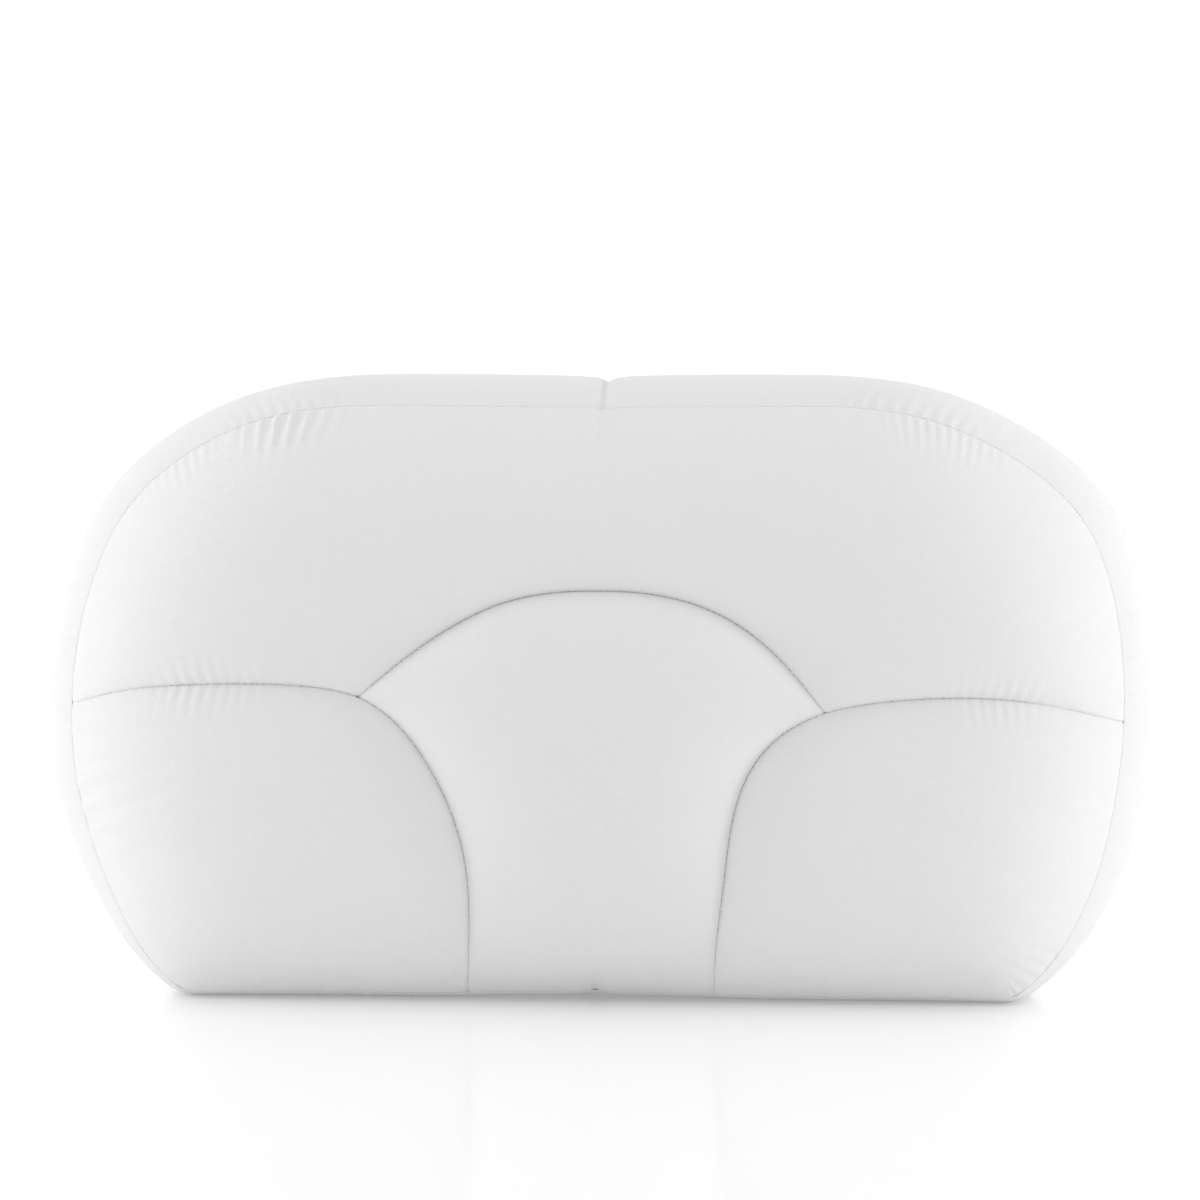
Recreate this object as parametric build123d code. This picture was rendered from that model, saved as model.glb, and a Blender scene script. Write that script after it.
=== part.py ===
from build123d import *

import math
import os

# Contoured neck-traction pillow, standing on its long edge, in mm.
# +X runs to its right, -Y is the face the head rests on, +Z is up, and z=0 is the edge it stands on.

# Outline of the long-edge-down body, seen from the front: a straight base, then arcs up each side.
BASE_HALF = 194.3  # half the straight base
LOWER_ARCS = ((26, 38), (104, 22), (214, 30))  # radius and turn in degrees, base to the widest height
UPPER_ARCS = ((189, 25), (107, 25), (155, 32), (253, 8))  # widest height to the straight top
SIDE_RUN = 1.0  # straight run at the widest height

# Band between the two faces: y, then inset of the outline and lift of the base there.
BAND = (
    (-31, 13, 2.0),
    (-24, 6.5, 0.6),
    (-14, 2, 0),
    (-1, 0, 0),
    (17, 0, 0),
    (30, 2, 0),
    (39, 6.5, 1.4),
    (45, 12, 5.0),
)
FRONT_SEAM = BAND[0]
BACK_SEAM = BAND[-1]

# Crown of each face over its seam: full height, and how soon it is reached going in from the seam.
FRONT_CROWN = (42, 25)
BACK_CROWN = (26, 22)
GRID_STEP = 15  # of the points the crowned faces are fitted through
GRID_HALF = 278  # half the width those points cover
GRID_RUN = (-16, 310)  # and the heights they cover
FIT = 0.05  # how closely the faces follow those points

# Layers, as depths under the outer face.
COVER = 1.6  # padded knit of the cover
# The inner bag and the filling lie clear of the front seams' valleys and of the zip.
LINER = ((8.0, 3.2, 5.0), (8.8, 4.0, 5.8))  # its outer and inner depth at the front, band and back
FILLING = (9.1, 4.4, 6.1)  # where the microbeads begin

SEAM_GAP = 0.8  # between two sewn panels
THREAD = 0.4  # width of a line of stitching
THREAD_DEPTH = (0.2, 1.3)  # depths between which it lies
SEAM_END = 1  # length by which a line of stitching stops short of the next seam
PART_GAP = 0.15  # between the parts of the inner bag
BAFFLE = 1.0  # thickness of the inner walls
BAFFLE_SLOT = 1.6  # room left for them between the fillings

# Seams of the front face as x, z points; the lobe seam is the right-hand one.
LOBE_SEAM = (
    (276, 133),
    (252, 138),
    (196, 147),
    (150, 148.5),
    (111, 142.5),
    (80, 119),
    (65, 87),
    (59, 45),
    (57.5, -14),
)
ARCH_SEAM = (
    (-111, 142.5),
    (-91, 162),
    (-48, 189.5),
    (0, 196),
    (48, 189.5),
    (91, 162),
    (111, 142.5),
)

# Zip in the seam across the back face.
ZIP_Z = 60
ZIP_SLOT = (152, 5.5)  # half length and half height of the opening in the back cover
TAPE_HALF = 156
TAPE = (0.9, 14.0)  # across, from the middle
TAPE_DEPTH = (2.5, 3.1)
COIL_HALF = 148.9
COIL = (0.65, 2.65)
COIL_DEPTH = (0.3, 2.45)
STOP = (149, 151.5)  # along, past the ends of the coils
STOP_DEPTH = (-0.2, 2.45)
GRIP = 0.4  # by which stops and slider reach past the coils
TOPSTITCH = 7.6  # across, from the middle
TOPSTITCH_DEPTH = (-0.25, 0)

# Slider and pull; depths above the cover's face are negative.
SLIDER_X = 143
SLIDER_LENGTH = 10
SLIDER_HALF = 4.3
TOP_PLATE = (-0.9, 0)
UNDER_PLATE = (3.4, 4.1)
SIDE_DEPTH = 2.2  # to which the slider's sides reach down
WEDGE = (1, 0.35)  # where it starts, from the slider's middle, and half its width
BAIL = (3.4, 1, 3.7)  # half its length, half its width and height
BAIL_EYE = (2.4, 2.8)
PULL_AXIS = 1.9  # height of the pull's pivot over the cover's face
PULL_LENGTH = 24
PULL_HALF = (3.2, 0.5)  # half its width and thickness
PULL_ROUND = 2.2
PULL_EYE = ((-6.5, 1), 1.4)  # along from the pivot, and half its width
PULL_BAR = 0.55

# Limits well outside the pillow, for cutting it.
REACH = 100  # along Y
WIDE = (-400, 400)
TALL = (-10, 400)
MIDDLE = 150  # height between the pillow's upper and lower parts
LOBE_X = 100  # the lobes' middles lie further out than this


def side_arcs(inset, lift):
    """Arcs up the right side of the outline: centre x, centre z, radius, heading and turn."""
    arcs = []
    x, z, heading = BASE_HALF, lift, 0
    for radius, turn in LOWER_ARCS + UPPER_ARCS:
        if heading == 90:
            z += SIDE_RUN + inset - lift
        r = radius - inset
        cx = x - r * math.sin(math.radians(heading))
        cz = z + r * math.cos(math.radians(heading))
        arcs.append((cx, cz, r, heading, turn))
        heading += turn
        x, z = arc_point(cx, cz, r, heading)
    return arcs


def arc_point(cx, cz, r, heading):
    """Point of an arc where the outline has the given heading."""
    angle = math.radians(heading)
    return cx + r * math.sin(angle), cz - r * math.cos(angle)


def outline(inset, lift, y):
    """The outline as a closed wire in the plane at y."""
    edges = []
    for side in (1, -1):
        at = (0, lift)
        for cx, cz, r, heading, turn in side_arcs(inset, lift):
            start, middle, end = (arc_point(cx, cz, r, heading + turn * t) for t in (0, 0.5, 1))
            if math.dist(at, start) > FIT:
                edges.append(Line((side * at[0], y, at[1]), (side * start[0], y, start[1])))
            edges.append(ThreePointArc(*((side * x, y, z) for x, z in (start, middle, end))))
            at = end
        edges.append(Line((side * at[0], y, at[1]), (0, y, at[1])))
    return Wire(edges)


def depth_inside(x, z, inset, lift):
    """Distance of a point inside the outline, negative outside it."""
    x = abs(x)
    arcs = side_arcs(inset, lift)
    near = []
    if x <= BASE_HALF:
        near.append(z - lift)
    widest, top = arcs[len(LOWER_ARCS)], arcs[-1]
    if widest[1] - SIDE_RUN - inset + lift <= z <= widest[1]:
        near.append(widest[0] + widest[2] - x)
    if x <= top[0]:
        near.append(top[1] + top[2] - z)
    for cx, cz, r, heading, turn in arcs:
        bearing = math.degrees(math.atan2(x - cx, cz - z))
        if heading <= bearing <= heading + turn:
            near.append(r - math.hypot(x - cx, z - cz))
    return min(near)


def crown(depth, height, reach):
    """Height of a face over its seam, carried on straight outside the seam."""
    if depth < 0:
        return height * depth / reach
    return height * (1 - math.exp(-depth / reach))


def crowned_face(seam, shape):
    """The outer face over a seam, as a surface reaching a little past it all round."""
    y, inset, lift = seam
    side = math.copysign(1, y)
    foot, top = GRID_RUN
    columns = round(2 * GRID_HALF / GRID_STEP)
    rows = round((top - foot) / GRID_STEP)
    points = []
    for i in range(columns + 1):
        x = -GRID_HALF + 2 * GRID_HALF * i / columns
        column = []
        for j in range(rows + 1):
            z = foot + (top - foot) * j / rows
            column.append(Vector(x, y + side * crown(depth_inside(x, z, inset, lift), *shape), z))
        points.append(column)
    return Face.make_surface_from_array_of_points(points, tol=FIT, min_deg=3, max_deg=3)


def slab(face, side, start, end):
    """Layer between two depths under an outer face."""
    return Solid.extrude(face.moved(Location((0, -side * start, 0))), Vector(0, -side * (end - start), 0))


def prism(inset, lift, y, end):
    """Straight prism over the outline between two planes."""
    return Solid.extrude(Face(outline(inset, lift, y)), Vector(0, end - y, 0))


def band_core(depth):
    """Everything within the band, down to a depth under its outer face."""
    return Solid.make_loft([outline(inset + depth, lift + depth, y) for y, inset, lift in BAND], ruled=True)


def dome(face, seam, depth, rim):
    """Everything between a seam's plane and a depth under its crowned face, within the rim's depth."""
    y, inset, lift = seam
    side = math.copysign(1, y)
    return prism(inset + rim, lift + rim, y, side * REACH) & slab(face, side, depth, depth + REACH)


def body(front, back, depths):
    """The whole pillow down to its own depth under the front, the band and the back."""
    front_dome = dome(front, FRONT_SEAM, depths[0], depths[1])
    return band_core(depths[1]) + front_dome + dome(back, BACK_SEAM, depths[2], depths[1])


def face_cover(face, seam):
    """Cover over one face, up to its perimeter seam."""
    y, inset, lift = seam
    side = math.copysign(1, y)
    return prism(inset, lift, y + side * SEAM_GAP, side * REACH) & slab(face, side, 0, COVER)


def perimeter_thread(seam):
    """Stitching round a face, in the gap between its cover and the band."""
    y, inset, lift = seam
    side = math.copysign(1, y)
    rim, inner = THREAD_DEPTH
    start, end = y + side * rim, y + side * (SEAM_GAP - rim)
    ring = prism(inset + rim, lift + rim, start, end)
    return ring - prism(inset + inner, lift + inner, y, y + side * SEAM_GAP)


def wall(points, width):
    """Wall of a given thickness along a seam line, right through from front to back."""
    line = Spline([(x, 0, z) for x, z in points])
    sides = []
    for side in (0.5, -0.5):
        row = []
        for i in range(3 * len(points)):
            t = i / (3 * len(points) - 1)
            across = (line % t).cross(Vector(0, 1, 0))
            row.append((line @ t) + across * width * side)
        sides.append(row)
    ends = [Line(sides[0][i], sides[1][i]) for i in (0, -1)]
    face = Face(Wire([Spline(sides[0]), ends[0], Spline(sides[1]), ends[1]]))
    return Solid.extrude(face, Vector(0, 2 * REACH, 0)).moved(Location((0, -REACH, 0)))


def seam_walls(width):
    """Walls along the left, right and arch seams of the front face."""
    left = [(-x, z) for x, z in LOBE_SEAM]
    return wall(left, width), wall(LOBE_SEAM, width), wall(ARCH_SEAM, width)


def quarters(shape):
    """Pieces of a shape cut along the front seams, by the part of the pillow they belong to."""
    found = {}
    for solid in shape.solids():
        middle = solid.center()
        if abs(middle.X) > LOBE_X:
            name = "left_lobe" if middle.X < 0 else "right_lobe"
        else:
            name = "upper" if middle.Z > MIDDLE else "centre"
        found[name] = solid
    return found


def block(x, y, z):
    """Box between two limits along each axis."""
    size = [b - a for a, b in (x, y, z)]
    return Box(*size, align=(Align.MIN,) * 3).moved(Location((x[0], y[0], z[0])))


def cover_front(front, walls):
    """Front cover in its four sewn panels."""
    panels = quarters(face_cover(front, FRONT_SEAM) - walls[0] - walls[1] - walls[2])
    return {f"cover_{name}_panel": panel for name, panel in panels.items()}


def front_threads(front, gaps):
    """Stitching along the seams of the front face."""
    y, inset, lift = FRONT_SEAM
    room = prism(inset + SEAM_END, lift + SEAM_END, y - SEAM_GAP, -REACH)
    layer = slab(front, -1, *THREAD_DEPTH) & room
    left, right, arch = seam_walls(THREAD)
    return {
        "stitching_left_lobe": layer & left,
        "stitching_right_lobe": layer & right,
        "stitching_arch": (layer & arch) - gaps[0] - gaps[1],
    }


def band_pieces():
    """The band in its left and right halves, with the stitching that joins them."""
    shell = band_core(0) - band_core(COVER)
    left = block((WIDE[0], -SEAM_GAP / 2), (-REACH, REACH), TALL)
    right = block((SEAM_GAP / 2, WIDE[1]), (-REACH, REACH), TALL)
    thread = band_core(THREAD_DEPTH[0]) - band_core(THREAD_DEPTH[1])
    strip = (-THREAD / 2, THREAD / 2)
    length = (FRONT_SEAM[0] + SEAM_END, BACK_SEAM[0] - SEAM_END)
    top = block(strip, length, (MIDDLE, TALL[1]))
    bottom = block(strip, length, (TALL[0], MIDDLE))
    return {
        "band_left": shell & left,
        "band_right": shell & right,
        "stitching_band_top": thread & top,
        "stitching_band_bottom": thread & bottom,
    }


def cover_back(back):
    """Back cover in two panels, with the slot for the zip, and the seam beside the zip."""
    shell = face_cover(back, BACK_SEAM)
    half, rise = ZIP_SLOT
    depth = (0, REACH)
    gap = SEAM_GAP / 2
    slot = block((-half, half), depth, (ZIP_Z - rise, ZIP_Z + rise))
    slit = block(WIDE, depth, (ZIP_Z - gap, ZIP_Z + gap))
    halves = sorted((shell - slot - slit).solids(), key=lambda solid: solid.center().Z)
    y, inset, lift = BACK_SEAM
    room = prism(inset + SEAM_END, lift + SEAM_END, y + SEAM_GAP, REACH)
    layer = slab(back, 1, *THREAD_DEPTH) & room
    line = (ZIP_Z - THREAD / 2, ZIP_Z + THREAD / 2)
    seam = layer & block((WIDE[0], -half - SEAM_END), depth, line)
    seam += layer & block((half + SEAM_END, WIDE[1]), depth, line)
    return {
        "cover_back_lower_panel": halves[0],
        "cover_back_upper_panel": halves[-1],
        "stitching_back_cross": seam,
    }


def liner(front, back):
    """Inner bag: a front, a back and a band round them."""
    bag = body(front, back, LINER[0]) - body(front, back, LINER[1])
    first, last = FRONT_SEAM[0], BACK_SEAM[0]
    return {
        "liner_front": bag & block(WIDE, (-REACH, first - PART_GAP), TALL),
        "liner_band": bag & block(WIDE, (first + PART_GAP, last - PART_GAP), TALL),
        "liner_back": bag & block(WIDE, (last + PART_GAP, REACH), TALL),
    }


def fillings(front, back):
    """Microbead fillings in their four chambers, with the baffles between them."""
    whole = body(front, back, FILLING)
    slots = seam_walls(BAFFLE_SLOT)
    chambers = quarters(whole - slots[0] - slots[1] - slots[2])
    pieces = {f"beads_{name}": chamber for name, chamber in chambers.items()}
    left, right, arch = seam_walls(BAFFLE)
    pieces["baffle_left_lobe"] = whole & left
    pieces["baffle_right_lobe"] = whole & right
    pieces["baffle_arch"] = (whole & arch) - slots[0] - slots[1]
    return pieces


def zip_frame():
    """Frame of the zip: x along it, y down across it, z straight out of the cover."""
    y, inset, lift = BACK_SEAM
    height, reach = BACK_CROWN
    depth = ZIP_Z - lift
    slope = height / reach * math.exp(-depth / reach)
    return Plane((0, y + crown(depth, height, reach), ZIP_Z), x_dir=(1, 0, 0), z_dir=(0, 1, -slope))


def zip_block(x, across, depth):
    """Box in the zip's frame, between two depths under the cover's face."""
    return zip_frame().location * block(x, across, (-depth[1], -depth[0]))


def zip_track():
    """Tapes, coils, stops and topstitching."""
    pieces = {}
    for name, side in (("upper", -1), ("lower", 1)):
        tape = sorted(side * value for value in TAPE)
        coil = sorted(side * value for value in COIL)
        line = sorted((side * TOPSTITCH, side * (TOPSTITCH + THREAD)))
        pieces[f"zip_tape_{name}"] = zip_block((-TAPE_HALF, TAPE_HALF), tape, TAPE_DEPTH)
        pieces[f"zip_coil_{name}"] = zip_block((-COIL_HALF, COIL_HALF), coil, COIL_DEPTH)
        pieces[f"zip_topstitch_{name}"] = zip_block((-ZIP_SLOT[0], ZIP_SLOT[0]), line, TOPSTITCH_DEPTH)
    across = COIL[1] + GRIP
    pieces["zip_bottom_stop"] = zip_block((-STOP[1], -STOP[0]), (-across, across), STOP_DEPTH)
    pieces["zip_top_stop_upper"] = zip_block(STOP, (-across, -COIL[0]), STOP_DEPTH)
    pieces["zip_top_stop_lower"] = zip_block(STOP, (COIL[0], across), STOP_DEPTH)
    return pieces


def zip_slider():
    """Slider: two plates joined by a wedge, with side walls over the coils and a bail on top."""
    start, end = SLIDER_X - SLIDER_LENGTH / 2, SLIDER_X + SLIDER_LENGTH / 2
    wedge, thin = WEDGE
    slider = zip_block((start, end), (-SLIDER_HALF, SLIDER_HALF), TOP_PLATE)
    slider += zip_block((start, end), (-SLIDER_HALF, SLIDER_HALF), UNDER_PLATE)
    slider += zip_block((SLIDER_X + wedge, end), (-thin, thin), (TOP_PLATE[1], UNDER_PLATE[0]))
    for side in (-1, 1):
        across = sorted((side * (COIL[1] + GRIP), side * SLIDER_HALF))
        slider += zip_block((start, end), across, (TOP_PLATE[1], SIDE_DEPTH))
    long, wide, high = BAIL
    eye, rise = BAIL_EYE
    slider += zip_block((SLIDER_X - long, SLIDER_X + long), (-wide, wide), (-high, TOP_PLATE[0]))
    return slider - zip_block((SLIDER_X - eye, SLIDER_X + eye), (-wide, wide), (-rise, TOP_PLATE[0]))


def zip_pull():
    """Pull tab lying flat along the zip, its end bar through the slider's bail."""
    wide, thick = PULL_HALF
    (start, end), eye = PULL_EYE
    tab = block((-PULL_LENGTH, 0), (-wide, wide), (-thick, thick))
    tab = fillet(tab.edges().filter_by(Axis.Z).group_by(Axis.X)[0], PULL_ROUND)
    tab -= block((start, end), (-eye, eye), (-thick, thick))
    bar = Cylinder(radius=PULL_BAR, height=2 * wide, rotation=(90, 0, 0))
    place = zip_frame().location * Location((SLIDER_X, 0, PULL_AXIS))
    return place * tab + place * bar


def build():
    """Every piece of the pillow by name."""
    front = crowned_face(FRONT_SEAM, FRONT_CROWN)
    back = crowned_face(BACK_SEAM, BACK_CROWN)
    gaps = seam_walls(SEAM_GAP)
    pieces = cover_front(front, gaps)
    pieces.update(front_threads(front, gaps))
    pieces.update(band_pieces())
    pieces.update(cover_back(back))
    pieces["stitching_front_perimeter"] = perimeter_thread(FRONT_SEAM)
    pieces["stitching_back_perimeter"] = perimeter_thread(BACK_SEAM)
    pieces.update(liner(front, back))
    pieces.update(fillings(front, back))
    pieces.update(zip_track())
    pieces["zip_slider"] = zip_slider()
    pieces["zip_pull"] = zip_pull()
    return pieces


os.makedirs("parts", exist_ok=True)
for name, piece in build().items():
    export_step(piece, f"parts/{name}.step")
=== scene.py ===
import math

import bmesh
import bpy
import numpy as np
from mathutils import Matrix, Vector
from mathutils.geometry import delaunay_2d_cdt
from mathutils.kdtree import KDTree


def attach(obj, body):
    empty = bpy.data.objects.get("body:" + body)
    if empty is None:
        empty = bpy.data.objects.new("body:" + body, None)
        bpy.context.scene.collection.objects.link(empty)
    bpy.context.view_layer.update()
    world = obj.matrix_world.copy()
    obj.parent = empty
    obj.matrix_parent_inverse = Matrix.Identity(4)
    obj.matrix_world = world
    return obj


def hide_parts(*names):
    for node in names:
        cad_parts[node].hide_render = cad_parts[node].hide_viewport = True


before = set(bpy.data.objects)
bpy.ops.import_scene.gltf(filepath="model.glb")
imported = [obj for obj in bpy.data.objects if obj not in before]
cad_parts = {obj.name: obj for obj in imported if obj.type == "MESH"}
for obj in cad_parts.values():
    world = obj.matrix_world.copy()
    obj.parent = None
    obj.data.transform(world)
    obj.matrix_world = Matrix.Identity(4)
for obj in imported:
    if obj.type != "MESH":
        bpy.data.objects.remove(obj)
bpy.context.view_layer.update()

# Lengths here are in mm, as in the CAD; to_object() turns them into metres.
MM = 0.001

# Outline of the body seen from the front: half the straight base, then arcs as radius and turn.
BASE_HALF = 194.3
LOWER_ARCS = ((26, 38), (104, 22), (214, 30))
UPPER_ARCS = ((189, 25), (107, 25), (155, 32), (253, 8))
SIDE_RUN = 1.0
WIDEST = 142.5  # height of the widest part

# The band's two seams: y, inset of the outline, lift of the base, and where the band starts to curve in.
FRONT_SEAM = (-31.0, 13.0, 3.5, -1.0)
BACK_SEAM = (45.0, 12.0, 5.0, 17.0)
SIDE_EXTRA = 2.0  # how much further in the front seam lies at the sides than at the top
BAND_POWER = 2.4  # how sharply the band curves in,
LIFT_POWER = 4.5  # and how late it leaves the ground

# Crown of the two faces: height over the seam and how soon it is reached.
FRONT_CROWN = (44.0, 30.0)
BACK_CROWN = (26.0, 22.0)

# Seams of the front face as sewn, as x, z points between the perimeter and the foot.
RIGHT_LOBE = (
    (252, 135.5), (226, 142.5), (197, 148), (166, 149.3), (134, 147), (110, 142),
    (92.2, 133.5), (78.4, 120), (68, 97), (62.3, 62), (58.5, 32), (56.5, 3),
)
LEFT_LOBE = (
    (-250, 141.5), (-222, 149.5), (-190, 153.3), (-166, 154.2), (-131, 153), (-109, 148.3),
    (-91.6, 137), (-76.9, 118.5), (-65.5, 95.5), (-58.9, 70), (-57.8, 45), (-59, 25), (-61, 3),
)
ARCH = (
    (-109, 148.3), (-90.5, 164), (-66, 181), (-42, 192.6), (-19, 197.7), (3, 198.9),
    (26, 197.7), (51, 192), (71, 182), (90, 166), (110, 142),
)

# How deep the seams are pulled in, how far each panel fills out, and how soon, going in from each seam.
VALLEY = 6.0
PANEL_LIFT = {"upper": 4.5, "centre": 12.0, "left_lobe": 2.5, "right_lobe": 2.5}
RISE = {
    ("upper", "arch"): 26.0,
    ("upper", "left"): 20.0,
    ("upper", "right"): 20.0,
    ("centre", "arch"): 20.0,
    ("centre", "left"): 29.0,
    ("centre", "right"): 29.0,
    ("left_lobe", "left"): 16.0,
    ("right_lobe", "right"): 16.0,
}
PINCH = (0.26, 3.2)  # share of that rise that comes close to the seam, and how close

# Sewn edges.
GROOVE = 0.9  # depth of the turned-in edge at the seams of the faces
GROOVE_WIDTH = 0.8
RIM_GROOVE = 0.12  # and at the perimeter
JOIN_GROOVE = 1.3  # how many times deeper it is at the band's joins
JOIN_DIP = (1.1, 4.0)  # depth and width of the dip there
THREAD_LAY = 0.8  # share of a groove's depth at which its thread lies
RIM_THREAD = 0.3  # depth of the perimeter's thread
JOIN_THREAD = 2.6  # depth of the thread in the band's joins

# Meshes: cloth thickness, rows of points along a sewn edge, and spacing along and away from it.
CLOTH = 0.7
ROWS = (0.3, 0.7, 1.2, 1.9, 2.8, 4.0, 5.4, 7.0, 8.8, 10.8, 13.0)
EDGE_STEP = 1.35
FILL_STEP = 2.7
FINE = 0.4  # spacing of the lines that distances are measured to,
RIM_STEP = 0.25  # and of the perimeter's

# Cloth simulation: spacing of its coarse mesh, the most a point may move, and its last frame.
SIM_STEP = 6.5
SIM_CAP = 4.0
SIM_FRAMES = 20
CLOTH_SETTINGS = {
    "quality": 6,
    "mass": 0.08,
    "tension_stiffness": 9,
    "compression_stiffness": 9,
    "shear_stiffness": 4,
    "bending_stiffness": 0.2,
    "use_pressure": True,
    "uniform_pressure_force": 4.0,
}

# Zip in the back face.
ZIP_Z = 60.0
ZIP_HALF = 152.0  # half the mouth in the cover
ZIP_SLOT = 5.5  # half its width
MOUTH_END = 7.0  # length over which it narrows at each end
CROSS_X = 250.0  # where the seam across the back meets the perimeter
CROSS_DIP = (2.6, 13.0, 40.0)  # depth of that seam, its half width, and the run over which it deepens
TOPSTITCH = 7.8  # from the middle of the zip
TAPE_HALF = 156.0
TAPE_WIDTH = 14.0
TAPE_DEPTH = 2.5
TAPE_CORD = (0.25, 1.4, 0.4)  # the corded edge: height, place across and half width
TAPE_THICKNESS = 0.55
COIL_PITCH = 1.5
COIL_HALF = 148.6
COIL_WIRE = 0.3
COIL_AXIS = (1.1, -1.4)  # across and out
COIL_SIZE = (1.35, 0.72)  # half sizes, likewise
STOP_X = (149.0, 151.5)  # from the middle of the zip,
STOP_EDGE = (0.65, 3.05)  # across it,
STOP_OUT = (-2.4, 0.2)  # and out of it
SLIDER_X = 143.0
SLIDER_HALF = (5.0, 4.3)  # half length and half width of its plates
SLIDER_TOP = (0.0, 0.9)  # how far out its upper plate starts and ends,
SLIDER_UNDER = (-4.1, -3.4)  # and its under plate
SLIDER_SIDES = (3.05, -2.2, 0.3)  # inner face, foot and head of its side walls
SLIDER_WAIST = 0.16  # share by which it narrows to its tail
BAIL = (2.9, 2.55, 0.5, 1.9)  # half span, height, wire radius, and how much wider it is than thick
PULL_AXIS = 1.9  # how far out the pull turns
PULL_HALF = (12.3, 3.2)  # half length and half width
PULL_BACK = 11.7  # from the slider's middle to the tab's
PULL_WAIST = (0.5, 5.0)  # how much it narrows, over what length
PULL_THICKNESS = (0.28, 0.5)  # half of it at the edge and at the raised rim
PULL_RIM = (0.35, 1.9, 2.15)  # insets at which the rim starts, ends and has come down
WINDOW_BACK = 3.55  # from the slider's middle to the window's
WINDOW_HALF = (2.95, 1.4)  # half length and half width

# Studio, in metres, watts and degrees. A softbox has its place, target, size and power.
FLOOR_HALF = 30.0
FLOOR_TONE = 0.89
FLOOR_GLOW = 0.14
SKY = (0.88, 1.02)  # strength all round, and behind the pillow
SKY_BEHIND = (0.55, 0.9)  # how far towards +Y it starts and ends to rise
SOFTBOXES = {
    "left": ((-1.6, -0.16, 0.2), (0, -0.05, 0.12), (0.3, 1.0), 10.0),
    "right": ((1.6, -0.16, 0.2), (0, -0.05, 0.12), (0.3, 1.0), 10.0),
    "top": ((0, 0.0, 1.9), (0, -0.03, 0.15), (1.6, 0.5), 2.4),
}
CAMERA_TURN = 4.0
CAMERA_RISE = 4.0
CAMERA_AWAY = 2.6
CAMERA_AIM = (0.0, 0.0, 0.190)
CAMERA_LENS = 162.5


def smooth(t):
    """Smooth step from 0 to 1."""
    t = np.clip(t, 0, 1)
    return t * t * (3 - 2 * t)


def kd_tree(points):
    """A search tree of points in space."""
    tree = KDTree(len(points))
    for k, point in enumerate(points):
        tree.insert(point, k)
    tree.balance()
    return tree


def run_length(points):
    """Length along a line of points, at each of them."""
    return np.concatenate([[0], np.cumsum(np.linalg.norm(np.diff(points, axis=0), axis=1))])


def grid_mesh(a, b):
    """Flat points over all pairs of two rows of values, and the quads between them."""
    grid = np.stack(np.meshgrid(a, b, indexing="ij"), axis=-1)
    index = np.arange(len(a) * len(b)).reshape(len(a), len(b))
    quads = np.stack([index[:-1, :-1], index[:-1, 1:], index[1:, 1:], index[1:, :-1]], axis=-1)
    return grid.reshape(-1, 2), quads.reshape(-1, 4)


def level_row(x, z):
    """Flat points at places x, all at one height."""
    return np.stack([x, np.full(len(x), z)], axis=1)


def placed(name, data):
    """A new object in the scene."""
    thing = bpy.data.objects.new(name, data)
    bpy.context.scene.collection.objects.link(thing)
    return thing


def hump(t, middle, width, power=2):
    """1 at the middle and 0.37 a width away from it."""
    return np.exp(-np.abs((t - middle) / width) ** power)


# ---- outline


def outline_table(step=0.5):
    """Arc length, point and outward normal along the whole outline, from the middle of the base."""
    half = [(x, 0.0, 0.0, -1.0) for x in np.arange(0, BASE_HALF, step)]
    x, z, heading = BASE_HALF, 0.0, 0
    for radius, turn in LOWER_ARCS + UPPER_ARCS:
        if heading == 90:
            z += SIDE_RUN
        angle = math.radians(heading)
        cx, cz = x - radius * math.sin(angle), z + radius * math.cos(angle)
        count = round(math.radians(turn) * radius / step)
        for k in range(count):
            angle = math.radians(heading + turn * k / count)
            sine, cosine = math.sin(angle), math.cos(angle)
            half.append((cx + radius * sine, cz - radius * cosine, sine, -cosine))
        heading += turn
        angle = math.radians(heading)
        x, z = cx + radius * math.sin(angle), cz - radius * math.cos(angle)
    half += [(t, z, 0.0, 1.0) for t in np.arange(x, 0, -step)]
    half = np.array(half + [(0.0, z, 0.0, 1.0)])
    other = half[::-1][1:] * (-1, 1, -1, 1)
    loop = np.vstack([half, other])
    length = np.concatenate([[0], np.cumsum(np.hypot(*np.diff(loop[:, :2], axis=0).T))])
    return length, loop


OUT_S, OUT = outline_table()
LENGTH = OUT_S[-1]
MIDDLE_TOP = LENGTH / 2


def rim(s, inset, lift):
    """Points of the outline at arc lengths s, inset, with the base lifted."""
    s = np.mod(s, LENGTH)
    px, pz, nx, nz = (np.interp(s, OUT_S, OUT[:, k]) for k in range(4))
    near_base = 1 - smooth(pz / WIDEST)
    return px - inset * nx, pz - inset * nz + (lift - inset) * near_base


def seam_inset(s, seam):
    """Inset of a perimeter seam along the outline."""
    extra = SIDE_EXTRA if seam is FRONT_SEAM else 0.0
    nx = np.interp(np.mod(s, LENGTH), OUT_S, OUT[:, 2])
    return seam[1] + extra * nx * nx


def seam_rim(s, seam):
    """Points x, z of a perimeter seam."""
    return np.stack(rim(s, seam_inset(s, seam), seam[2]), axis=1)


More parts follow.
